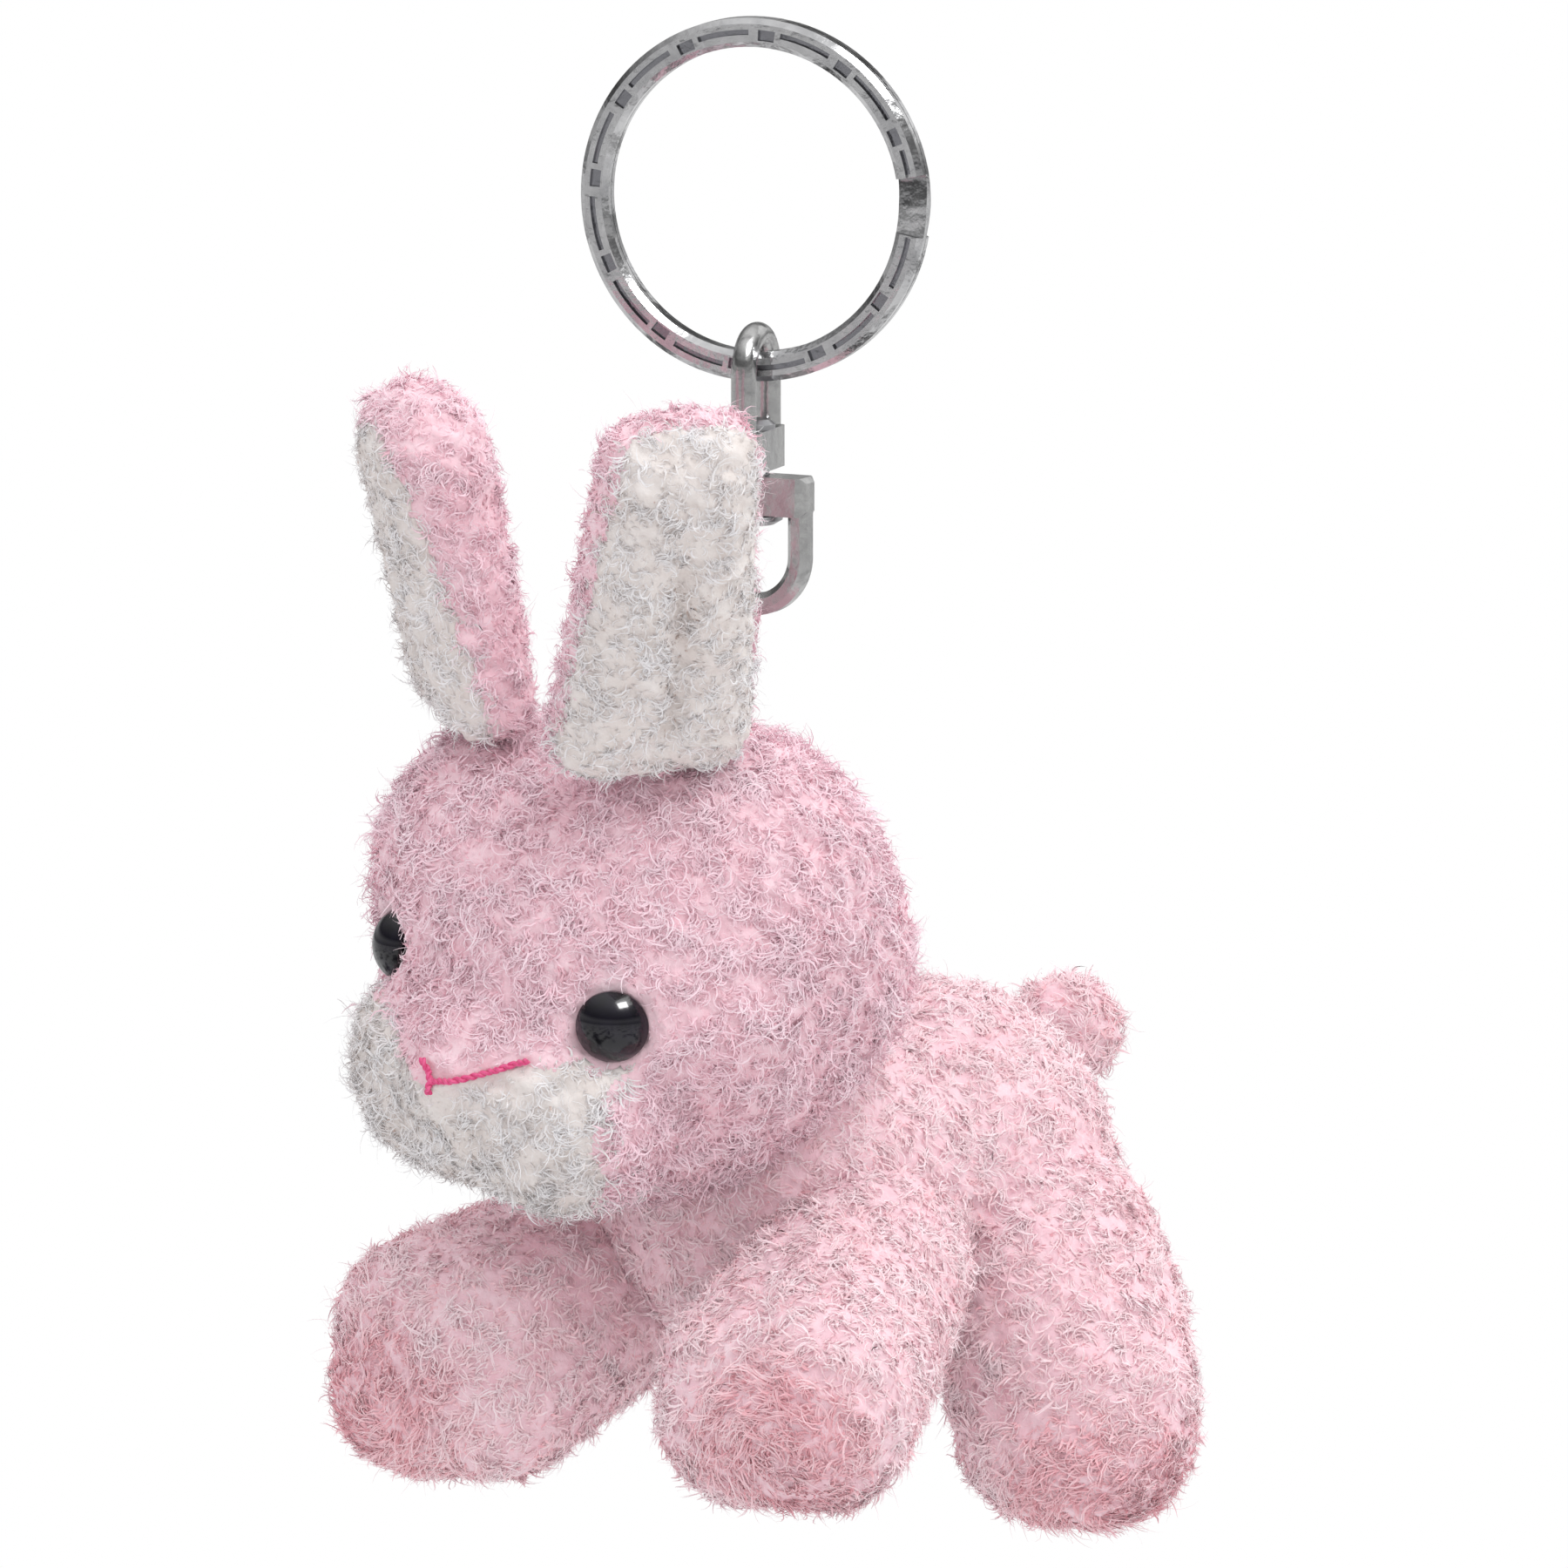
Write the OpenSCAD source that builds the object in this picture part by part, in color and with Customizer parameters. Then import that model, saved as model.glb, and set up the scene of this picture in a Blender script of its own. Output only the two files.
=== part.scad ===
// Plush rabbit keychain: patterned split ring, two-link swivel, sewn hanging loop and a
// stuffed rabbit. Millimetres, +Z up, stored hanging. The origin is the centre of the ring.
// The rabbit faces -Y and its left side is +X.

/* [Split ring] */
// Outside diameter of the ring
ring_od = 30; // [24:0.5:40]
// Width of the wire across the ring's face
ring_wire_w = 2.4; // [1.6:0.1:3.5]
// Thickness of one turn of the wire
ring_turn_t = 1.1; // [0.8:0.05:1.6]
// How far the ring is turned from facing front
ring_turned = 24.6; // [0:0.2:90]
// Number of repeats of the stamped pattern
ring_repeats = 12; // [6:1:20]
// Depth of the stamped pattern
ring_stamp = 0.35; // [0.1:0.05:0.5]

/* [Swivel] */
// Diameter of the upper link's wire
shackle_wire = 2.1; // [1.5:0.1:3]
// Clear width inside the upper link
shackle_gap = 3.9; // [3.6:0.1:6]
// Length, thickness and height of the upper link's collar
collar = [7.6, 2.8, 3.4];
// Length, thickness and height of the lower link's bar
bar = [10, 2.9, 3.2];
// Clear width inside the lower link
loop_gap = 6.4; // [5:0.1:10]
// Straight length of the lower link's legs
loop_leg = 3.4; // [1:0.1:8]
// Width and thickness of the lower link's wire
loop_wire = [1.8, 2];
// How far the lower link is turned from facing front
link_turned = 17; // [0:1:90]
// Radius of the rivet that joins the links
rivet_r = 1.1; // [0.8:0.05:1.5]
// Radial running clearance of the lower link on the rivet
rivet_clearance = 0.05; // [0.01:0.01:0.1]

/* [Hanging loop] */
// Width and thickness of the sewn tape
tape = [2.6, 0.9];

/* [Head] */
// Outside radius of the head
head_r = 20.5; // [15:0.5:30]
// Centre of the head
head_at = [0, -13.9, -61.5];
// How far the head nods forward
head_nod = 20; // [0:1:40]
// How far the head leans to its left
head_lean = 10; // [-20:1:20]
// Radius of the muzzle pads
pad_r = 9; // [6:0.5:12]
// Radius of the snout between the pads
snout_r = 7.5; // [5:0.5:10]
// Radius of an eye's dome
eye_r = 3; // [2:0.1:5]

/* [Ears] */
// Half thickness of a stuffed ear
ear_r = 4.5; // [3:0.1:8]
// Straight lengths of the left and right ears from their sewn roots
ear_len = [28.8, 21.2];
// Half of the ear's width inside its rounded edges, at the root and at the tip
ear_half = [3.5, 1.1];
// How far the left and right ears spread apart
ear_spread = [16.8, 5.3];
// How far the left and right ears turn outwards
ear_turned = [60, 25];

/* [Body] */
// Centre of the body
body_at = [0, 10, -84];
// How far the body is tipped nose up
body_tip = 8; // [0:1:30]
// How far the body leans to its right
body_lean = 2.5; // [-15:1:15]
// Radius of the chest and of the rump
chest_r = 15; // [10:0.5:20]
rump_r = 16.8; // [10:0.5:22]
// Radius of the front and hind legs
front_r = 9.2; // [5:0.2:12]
hind_r = 10; // [5:0.2:13]
// Radius of the tail
tail_r = 5.5; // [3:0.5:8]
// Thickness of the plush cloth with its pile pressed flat
cloth = 1.6; // [0.8:0.1:3]

/* [Hidden] */
$fn = 64;
slit = 0.1;             // gap between the two turns of the ring
far = 200;
ring_r = ring_od / 2;
ring_mid = ring_r - ring_wire_w / 2;
ring_half = ring_turn_t + slit / 2;
ring_bevel = 0.45;
step_angle = 10;        // half of the arc in which the wire steps over
shackle_r = (shackle_gap + shackle_wire) / 2;
shackle_top = -ring_mid + 1.5;                 // inside of the shackle's bend
shackle_bend = shackle_top - shackle_gap / 2;  // centre of the bend
collar_top = -19;
collar_low = collar_top - collar[2];
bar_top = collar_low - 0.4;
bar_low = bar_top - bar[2];
rivet_head_t = 0.8;
loop_r = (loop_gap + loop_wire[0]) / 2;
loop_bend = bar_low - loop_leg;                // centre of the lower link's bend
wire_z = loop_bend - loop_r;                   // centre of the wire the tape hangs on
tape_r = 1.35;                                 // inside radius of the tape's bend
fit_gap = 0.05;
joint_gap = 0.6;
pads = [0, -14.5, -4];                         // middle of the two muzzle pads, in the head
pad_x = 6;                                     // half distance between the muzzle pads
snout = [0, -18.5, -0.5];
eye_at = [12, -14.2, 4.6];                     // direction of an eye from the head's centre
eye_sunk = head_r - 0.6;                       // radius at which an eye's dome starts
washer_r = 3.5;
washer_at = head_r - cloth - 1.4;              // radius at which an eye's washer starts
ear_roots = [[7, -2.6, 25], [12.3, -2.7, 23.7]];  // left and right, in the head
chest = [0, -9, 0.5];
rump = [0, 9.5, 2.5];
shoulder = [12.5, -9, -5];
front_paws = [[20, -26.8, -15.6], [17.4, -26.8, -15.6]];  // left and right
front_broad = 3;                               // half distance the front paws are stretched sideways
hip = [12, 12, -3];
hind_paws = [[18.4, 8.5, -14.9], [14.5, 9.5, -14.5]];   // left and right
hind_broad = 1.5;
tail_at = [0, 25.6, 14.8];
mouth_half = 7.2;
mouth_low = 0.7;
mouth_rise = 2;
mouth_span = 55;                               // arc of the snout under each side of the mouth
belly_z = -8;
closing_from = -19;                            // arc of the rump under the closing stitches
closing_span = 33;
closing_count = 6;
thread_r = 0.3;

split_ring();
upper_link();
swivel_rivet();
lower_link();
hanging_loop();
head_front_panel();
head_back_panel();
muzzle_panel();
head_stuffing();
eye(1);  // eye_left
eye(-1);  // eye_right
eye_washer(1);  // eye_washer_left
eye_washer(-1);  // eye_washer_right
mouth_stitch();
ear_back(1);  // ear_back_left
ear_back(-1);  // ear_back_right
ear_lining(1);  // ear_lining_left
ear_lining(-1);  // ear_lining_right
body_side(1);  // body_left_panel
body_side(-1);  // body_right_panel
belly_panel();
body_stuffing();
leg_sleeve(1, shoulder, front_paws[0], front_r, front_broad);  // front_leg_left
leg_sleeve(-1, shoulder, front_paws[1], front_r, front_broad);  // front_leg_right
leg_sleeve(1, hip, hind_paws[0], hind_r, hind_broad);  // hind_leg_left
leg_sleeve(-1, hip, hind_paws[1], hind_r, hind_broad);  // hind_leg_right
leg_fill(1, shoulder, front_paws[0], front_r, front_broad);  // front_stuffing_left
leg_fill(-1, shoulder, front_paws[1], front_r, front_broad);  // front_stuffing_right
leg_fill(1, hip, hind_paws[0], hind_r, hind_broad);  // hind_stuffing_left
leg_fill(-1, hip, hind_paws[1], hind_r, hind_broad);  // hind_stuffing_right
tail();
closing_stitch();

// ---- shared shapes ----

// a ball-ended rod between two points
module rod(a, b, r) {
    d = b - a;
    len = norm(d);
    translate(a) rotate([0, acos(d[2] / len), atan2(d[1], d[0])]) {
        sphere(r);
        cylinder(r = r, h = len);
        translate([0, 0, len]) sphere(r);
    }
}

// a plain round rod between two points
module pin(a, b, r) {
    d = b - a;
    len = norm(d);
    translate(a) rotate([0, acos(d[2] / len), atan2(d[1], d[0])]) cylinder(r = r, h = len);
}

// a rectangle with its corners cut off, centred
module bevelled(w, h, cut) {
    polygon([[w / 2 - cut, -h / 2], [w / 2, cut - h / 2], [w / 2, h / 2 - cut],
        [w / 2 - cut, h / 2], [cut - w / 2, h / 2], [-w / 2, h / 2 - cut],
        [-w / 2, cut - h / 2], [cut - w / 2, -h / 2]]);
}

module in_head() {
    translate(head_at) rotate([head_nod, head_lean, 0]) children();
}

module in_body() {
    translate(body_at) rotate([-body_tip, -body_lean, 0]) children();
}

module mirrored(side) {
    if (side > 0) children();
    else mirror([1, 0, 0]) children();
}

// ---- split ring ----

// one turn of the wire as a full ring, its stamped face at +Z
module ring_band() {
    rotate_extrude($fn = 128)
        polygon([[ring_r - ring_wire_w, 0], [ring_r, 0],
            [ring_r, ring_turn_t - ring_bevel], [ring_r - ring_bevel, ring_turn_t],
            [ring_r - ring_wire_w + ring_bevel, ring_turn_t],
            [ring_r - ring_wire_w, ring_turn_t - ring_bevel]]);
}

// an arc-shaped cutter across the stamped face
module stamp(from, arc, r, w) {
    rotate([0, 0, from]) translate([0, 0, ring_turn_t - ring_stamp])
        rotate_extrude(angle = arc, $fn = 128)
            translate([r - w / 2, 0]) square([w, 1]);
}

module stamped_turn() {
    pitch = 360 / ring_repeats;
    difference() {
        ring_band();
        for (i = [0 : ring_repeats - 1]) {
            stamp(i * pitch + 1, pitch * 0.62, ring_mid + 0.05, 0.45);
            stamp(i * pitch + pitch * 0.72, pitch * 0.2, ring_mid - 0.15, 0.9);
        }
        // the gap in which the wire steps over to the other turn
        rotate([0, 0, -step_angle]) linear_extrude(height = 3 * ring_turn_t, center = true)
            polygon([[0, 0], [far, 0], [far * cos(2 * step_angle), far * sin(2 * step_angle)]]);
    }
}

// the length of wire that steps from one turn to the other
module wire_step() {
    run = ring_mid * sin(step_angle) + 0.6;
    intersection() {
        difference() {
            cylinder(r = ring_r, h = 2 * ring_half, center = true, $fn = 128);
            cylinder(r = ring_r - ring_wire_w, h = 4 * ring_half, center = true, $fn = 128);
        }
        translate([ring_r - 2 * ring_wire_w, 0, 0]) rotate([90, 0, 90])
            linear_extrude(height = 3 * ring_wire_w)
                polygon([[-run, slit / 2], [-run, ring_half - ring_bevel], [0, ring_turn_t / 2],
                    [run, -slit / 2], [run, ring_bevel - ring_half], [0, -ring_turn_t / 2]]);
    }
}

module split_ring() {
    color("silver") rotate([0, 0, ring_turned]) rotate([90, 0, 0]) {
        translate([0, 0, slit / 2]) stamped_turn();
        mirror([0, 0, 1]) translate([0, 0, slit / 2]) stamped_turn();
        wire_step();
    }
}

// ---- swivel ----

module upper_link() {
    color("silver") rotate([0, 0, ring_turned + 90]) difference() {
        union() {
            translate([0, 0, shackle_bend]) rotate([90, 0, 0])
                rotate_extrude(angle = 180) translate([shackle_r, 0]) circle(shackle_wire / 2);
            for (x = [-shackle_r, shackle_r])
                translate([x, 0, collar_top - 0.4])
                    cylinder(r = shackle_wire / 2, h = shackle_bend - collar_top + 0.4);
            block(collar, collar_low, 0.7);
        }
        translate([0, 0, collar_low - 1]) cylinder(r = rivet_r, h = collar[2] + 2);
    }
}

// a bar with its corners and its top edges cut off, standing on z = low
module block(size, low, cut) {
    intersection() {
        translate([0, 0, low]) linear_extrude(height = size[2]) bevelled(size[0], size[1], cut);
        translate([0, size[1], low + size[2] / 2]) rotate([90, 0, 0])
            linear_extrude(height = 2 * size[1]) bevelled(size[0], size[2], cut * 0.6);
    }
}

module swivel_rivet() {
    color("gray") {
        translate([0, 0, bar_low - 0.1]) cylinder(r = rivet_r, h = collar_top - bar_low + 0.1);
        translate([0, 0, bar_low - 0.1 - rivet_head_t])
            rotate_extrude() polygon([[0, 0], [1.5, 0], [2.2, 0.4], [2.2, rivet_head_t],
                [0, rivet_head_t]]);
        translate([0, 0, collar_top])
            rotate_extrude() polygon([[0, 0], [1.6, 0], [1.6, 0.4], [1.1, rivet_head_t],
                [0, rivet_head_t]]);
    }
}

module lower_link() {
    color("silver") rotate([0, 0, link_turned]) difference() {
        union() {
            block(bar, bar_low, 0.7);
            translate([0, 0, loop_bend]) rotate([-90, 0, 0])
                rotate_extrude(angle = 180) translate([loop_r, 0])
                    bevelled(loop_wire[0], loop_wire[1], 0.5);
            for (x = [-loop_r, loop_r])
                translate([x, 0, loop_bend]) linear_extrude(height = loop_leg + 0.8)
                    bevelled(loop_wire[0], loop_wire[1], 0.5);
        }
        translate([0, 0, bar_low - 1])
            cylinder(r = rivet_r + rivet_clearance, h = bar[2] + 2);
    }
}

// ---- hanging loop ----

module hanging_loop() {
    tail_len = wire_z - head_at[2] - 8;
    color("pink") difference() {
        rotate([0, 0, link_turned]) translate([0, 0, wire_z]) rotate([90, 0, 90])
            linear_extrude(height = tape[0], center = true) difference() {
                union() {
                    circle(tape_r + tape[1]);
                    translate([-tape_r - tape[1], -tail_len])
                        square([2 * (tape_r + tape[1]), tail_len]);
                }
                circle(tape_r);
                translate([-tape_r, -tail_len - 1]) square([2 * tape_r, tail_len + 1]);
            }
        translate(head_at) sphere(head_r + joint_gap);
    }
}

// ---- head ----

// the outside of the head, or its inside when shrunk by the cloth
module head_form(shrink = 0) {
    rotate([90, 0, 0]) sphere(head_r - shrink);
    rod(pads - [pad_x, 0, 0], pads + [pad_x, 0, 0], pad_r - shrink);
    translate(snout) sphere(snout_r - shrink);
}

// the white region around the mouth, pointed up on each side of the nose
module muzzle_region() {
    translate([0, -8, 0]) rotate([90, 0, 0]) linear_extrude(height = 40)
        polygon([[0, mouth_low], [mouth_half, mouth_low + mouth_rise], [12, 2.6], [15.5, 0],
            [15.5, -6], [9, -14], [-9, -14], [-15.5, -6], [-15.5, 0], [-12, 2.6],
            [-mouth_half, mouth_low + mouth_rise]]);
}

module head_skin() {
    difference() {
        head_form();
        head_form(cloth);
    }
}

module eye_frame(side) {
    mirrored(side) rotate([0, 0, atan2(eye_at[1], eye_at[0])])
        rotate([0, acos(eye_at[2] / norm(eye_at)), 0]) children();
}

module eye_stem(r) {
    translate([0, 0, head_r - 7]) cylinder(r = r, h = 7);
}

module head_front_panel() {
    color("pink") in_head() difference() {
        intersection() {
            head_skin();
            translate([-far / 2, -far + 2, -far / 2]) cube(far);
        }
        muzzle_region();
        for (side = [-1, 1]) eye_frame(side) eye_stem(1.1);
        for (side = [-1, 1]) eye_frame(side) translate([0, 0, eye_sunk]) cylinder(r = eye_r, h = 5);
    }
}

module head_back_panel() {
    color("pink") in_head() difference() {
        head_skin();
        translate([-far / 2, -far + 2, -far / 2]) cube(far);
    }
}

module muzzle_panel() {
    color("white") in_head() difference() {
        intersection() {
            head_skin();
            muzzle_region();
        }
        for (side = [-1, 1]) eye_frame(side) translate([0, 0, eye_sunk]) cylinder(r = eye_r, h = 5);
    }
}

module head_stuffing() {
    color("white") in_head() difference() {
        head_form(cloth);
        for (side = [-1, 1]) eye_frame(side) {
            eye_stem(1);
            translate([0, 0, washer_at]) cylinder(r = washer_r, h = 2);
        }
    }
}

// ---- face ----

module eye(side) {
    dome = 3.4;
    color("black") in_head() eye_frame(side) {
        translate([0, 0, eye_sunk]) intersection() {
            translate([0, 0, -dome + 2.1]) sphere(dome);
            cylinder(r = eye_r, h = 4);
        }
        eye_stem(1);
    }
}

module eye_washer(side) {
    color("white") in_head() eye_frame(side) translate([0, 0, washer_at])
        difference() {
            cylinder(r = washer_r, h = 0.9);
            translate([0, 0, -1]) cylinder(r = 1.05, h = 3);
        }
}

// a thread that runs over the snout from the middle of the mouth, rising by the slope
module mouth_thread(slope, span, r, lift = 0) {
    start = 4;
    translate(snout) rotate([-asin((mouth_low - snout[2]) / snout_r), 0, 0])
        rotate([0, -slope, 0]) rotate([0, 0, -90 - start])
            rotate_extrude(angle = span + start) translate([snout_r + lift, 0]) circle(r);
}

// a wide V with a short stitch below it; one side's thread lies over the other's
module mouth_stitch() {
    slope = atan2(mouth_rise, mouth_half);
    color("deeppink") in_head() {
        mouth_thread(slope, mouth_span, thread_r);
        mirror([1, 0, 0]) mouth_thread(slope, mouth_span, thread_r, 0.1);
        mouth_thread(-90, 12, thread_r - 0.04);
    }
}

// ---- ears ----

// a flat stuffed ear standing up along Z from its rounded root, narrower at the tip
module ear_form(len) {
    root = ear_half[0];
    tip = ear_half[1];
    rod([-root, 0, 0], [root, 0, 0], ear_r);
    rod([-tip, 0, len], [tip, 0, len], ear_r);
    // each a little inside the last, so that no faces only touch
    edge = ear_r - 0.05;
    flat = ear_r - 0.1;
    for (side = [-1, 1]) pin([side * root, 0, 0], [side * tip, 0, len], edge);
    translate([0, flat, 0]) rotate([90, 0, 0]) linear_extrude(height = 2 * flat)
        polygon([[-root, 0], [root, 0], [tip, len], [-tip, len]]);
}

// the outline of the lining that is sewn into the ear's front
module lining_room(len) {
    root = ear_half[0] + 3.5;
    tip = ear_half[1] + 3;
    translate([0, -1, 0]) rotate([90, 0, 0]) linear_extrude(height = 2 * ear_r)
        polygon([[1.5 - root, -3], [root - 1.5, -3], [root, 0], [tip, len], [tip - 1.5, len + 2.4],
            [1.5 - tip, len + 2.4], [-tip, len], [-root, 0]]);
}

function of_side(pair, side) = side > 0 ? pair[0] : pair[1];

module in_ear(side) {
    in_head() mirrored(side) translate(of_side(ear_roots, side))
        rotate([0, of_side(ear_spread, side), 0]) rotate([0, 0, of_side(ear_turned, side)])
            children();
}

module ear_back(side) {
    len = of_side(ear_len, side);
    color("pink") in_ear(side) difference() {
        ear_form(len);
        lining_room(len);
    }
}

module ear_lining(side) {
    len = of_side(ear_len, side);
    color("white") in_ear(side) intersection() {
        ear_form(len);
        lining_room(len);
    }
}

// ---- body ----

module body_form(shrink = 0) {
    translate(chest) sphere(chest_r - shrink);
    translate(rump) sphere(rump_r - shrink);
    pin(chest, rump, chest_r - shrink);
}

module head_room() {
    in_head() head_form(-fit_gap);
}

module body_skin() {
    difference() {
        body_form();
        body_form(cloth);
    }
}

module body_side(side) {
    color("pink") difference() {
        in_body() intersection() {
            body_skin();
            mirrored(side) translate([0, -far / 2, belly_z]) cube(far);
        }
        head_room();
    }
}

module belly_panel() {
    color("pink") difference() {
        in_body() intersection() {
            body_skin();
            translate([-far / 2, -far / 2, belly_z - far]) cube(far);
        }
        head_room();
    }
}

module body_stuffing() {
    color("white") difference() {
        in_body() body_form(cloth);
        head_room();
    }
}

// the thread that closes the belly: it runs under the seam with slanted stitches across it
module closing_stitch() {
    stitch = 2;
    pitch = (closing_span - 4) / (closing_count - 1);
    color("pink") in_body() translate(rump) {
        rotate([90, 0, 90]) rotate([0, 0, closing_from - 90])
            rotate_extrude(angle = closing_span) translate([rump_r, 0]) circle(thread_r);
        for (i = [0 : closing_count - 1])
            rotate([closing_from + 2 + i * pitch, 0, 0]) translate([0, 0, -rump_r])
                rotate([0, 90, 20]) cylinder(r = thread_r - 0.05, h = stitch, center = true);
    }
}

// ---- legs and tail ----

module leg_room() {
    in_body() body_form();
    head_room();
}

// a leg with its paw stretched sideways
module leg_form(top, paw, r, broad) {
    rod(top, paw, r);
    rod(paw - [broad, 0, 0], paw + [broad, 0, 0], r - 0.3);
}

module leg_sleeve(side, top, paw, r, broad) {
    color("pink") difference() {
        in_body() mirrored(side) difference() {
            leg_form(top, paw, r, broad);
            leg_form(top, paw, r - cloth, broad);
        }
        leg_room();
    }
}

module leg_fill(side, top, paw, r, broad) {
    color("white") difference() {
        in_body() mirrored(side) leg_form(top, paw, r - cloth, broad);
        leg_room();
    }
}

module tail() {
    color("pink") in_body() difference() {
        translate(tail_at) sphere(tail_r);
        body_form();
    }
}
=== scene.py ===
"""Looks of the plush rabbit keychain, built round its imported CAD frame."""

import math

import bmesh
import bpy
import numpy as np
from mathutils import Matrix, Vector
from mathutils.bvhtree import BVHTree
from mathutils.kdtree import KDTree


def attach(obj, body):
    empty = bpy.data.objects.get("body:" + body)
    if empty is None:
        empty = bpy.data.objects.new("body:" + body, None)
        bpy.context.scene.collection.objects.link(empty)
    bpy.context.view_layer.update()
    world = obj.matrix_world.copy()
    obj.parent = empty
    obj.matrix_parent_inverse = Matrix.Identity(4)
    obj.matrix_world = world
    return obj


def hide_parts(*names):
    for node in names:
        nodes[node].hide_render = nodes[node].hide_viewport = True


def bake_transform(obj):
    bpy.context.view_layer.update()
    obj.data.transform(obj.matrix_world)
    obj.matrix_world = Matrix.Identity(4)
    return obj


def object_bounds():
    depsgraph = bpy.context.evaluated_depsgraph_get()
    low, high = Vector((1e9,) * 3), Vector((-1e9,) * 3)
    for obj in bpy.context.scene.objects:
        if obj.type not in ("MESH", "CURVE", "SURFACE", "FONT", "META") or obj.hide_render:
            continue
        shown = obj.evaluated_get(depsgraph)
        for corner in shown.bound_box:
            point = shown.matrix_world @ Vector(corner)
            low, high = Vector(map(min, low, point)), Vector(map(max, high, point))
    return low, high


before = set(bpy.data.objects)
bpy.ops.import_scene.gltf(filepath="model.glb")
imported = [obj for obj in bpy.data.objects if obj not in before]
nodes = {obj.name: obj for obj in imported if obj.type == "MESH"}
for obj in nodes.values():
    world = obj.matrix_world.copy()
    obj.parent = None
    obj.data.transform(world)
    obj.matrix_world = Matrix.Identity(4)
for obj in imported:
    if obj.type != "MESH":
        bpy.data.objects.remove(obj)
cad_box = [list(c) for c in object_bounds()]
MM = 0.001

# ---------------------------------------------------------------- where the CAD puts things (mm)
# pairs are left and right, except EAR_HALF and LINING_HALF: at the root and at the tip
HEAD_R, HEAD_AT, HEAD_NOD, HEAD_LEAN = 20.5, (0, -13.9, -61.5), 20, 10
PADS, PAD_X, PAD_R = (0, -14.5, -4), 6, 9
SNOUT, SNOUT_R = (0, -18.5, -0.5), 7.5
EYE_AT, EYE_R = (12, -14.2, 4.6), 3.0
EAR_R, EAR_HALF, EAR_LEN = 4.5, (3.5, 1.1), (28.8, 21.2)
EAR_ROOT = ((7, -2.6, 25), (12.3, -2.7, 23.7))
EAR_SPREAD, EAR_TURNED = (16.8, 5.3), (60, 25)
LINING_HALF = (7.0, 4.1)
BODY_AT, BODY_TIP, BODY_LEAN = (0, 10, -84), 8, 2.5
CHEST, CHEST_R, RUMP, RUMP_R = (0, -9, 0.5), 15, (0, 9.5, 2.5), 16.8
BELLY_Z, FACE_SEAM_Y = -8, 2
SHOULDER, FRONT_R, FRONT_BROAD = (12.5, -9, -5), 9.2, 3.4
FRONT_PAW = ((21.2, -26.8, -15.6), (16.2, -26.8, -15.6))      # left, right
HIP, HIND_R, HIND_BROAD = (12, 12, -3), 10, 1.5
HIND_PAW = ((20.2, 8.5, -15.5), (14.5, 9.5, -14.5))
TAIL_AT, TAIL_R = (0, 25.6, 14.8), 5.5
MOUTH_HALF, MOUTH_LOW, MOUTH_RISE = 7.2, 0.7, 2.0
RING_TURNED, RING_MID, RING_HALF = 24.6, 13.8, 1.15
WIRE_Z, LINK_TURNED = -33.5, 17


def turn(x=0, y=0, z=0):
    """Turned about X, then Y, then Z, in degrees."""
    r = [Matrix.Rotation(math.radians(a), 4, k) for a, k in ((x, "X"), (y, "Y"), (z, "Z"))]
    return r[2] @ r[1] @ r[0]


def move(p):
    return Matrix.Translation(Vector(p))


def sided(side):
    return Matrix.Diagonal((side, 1, 1, 1))


IN_HEAD = move(HEAD_AT) @ turn(HEAD_NOD, HEAD_LEAN)
IN_BODY = move(BODY_AT) @ turn(-BODY_TIP, -BODY_LEAN)


def in_ear(side):
    k = 0 if side > 0 else 1
    return IN_HEAD @ sided(side) @ move(EAR_ROOT[k]) @ turn(y=EAR_SPREAD[k]) @ turn(z=EAR_TURNED[k])


def placed(points, m):
    a = np.array(m, float)
    return points @ a[:3, :3].T + a[:3, 3]


def unplaced(points, m):
    return placed(points, m.inverted())


def unit(a):
    return a / np.maximum(np.linalg.norm(a, axis=-1, keepdims=True), 1e-9)


# ---------------------------------------------------------------- stuffed skins (mm)
CLOTH_SCALE = 0.01     # the cloth solver works on a skin at 1 mm = 10 mm
PRESSURE, CLOTH_FRAMES = 4, 20
SWELL = 1.3            # mm that a skin may swell between its seams
VOXEL, VALLEYS_EASED = 0.8, 8     # mm; how many times a skin's valleys are smoothed before it swells
PILE_ROOM = 0.2        # mm that a skin starts inside its balls, besides half its swelling
LUMPS = ((0.20, 2.6, 91), (0.12, 1.2, 92))    # height, wave and seed of the lumps in the pile's base


def hull(balls):
    """The convex hull of some balls, (centre, radius) each, as a mesh."""
    bm = bmesh.new()
    for centre, r in balls:
        bmesh.ops.create_icosphere(bm, subdivisions=4, radius=r, matrix=move(centre))
    made = bmesh.ops.convex_hull(bm, input=bm.verts)
    spare = [v for v in made["geom_interior"] if isinstance(v, bmesh.types.BMVert)]
    bmesh.ops.delete(bm, geom=list(set(spare)), context="VERTS")
    me = bpy.data.meshes.new("hull")
    bm.to_mesh(me)
    bm.free()
    return me


def object_of(me, name):
    o = bpy.data.objects.new(name, me)
    bpy.context.scene.collection.objects.link(o)
    return o


def applied(o):
    """Turns an object's modifiers into its mesh."""
    dg = bpy.context.evaluated_depsgraph_get()
    me = bpy.data.meshes.new_from_object(o.evaluated_get(dg), depsgraph=dg)
    old = o.data
    o.modifiers.clear()
    o.data = me
    bpy.data.meshes.remove(old)
    return o


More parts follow.
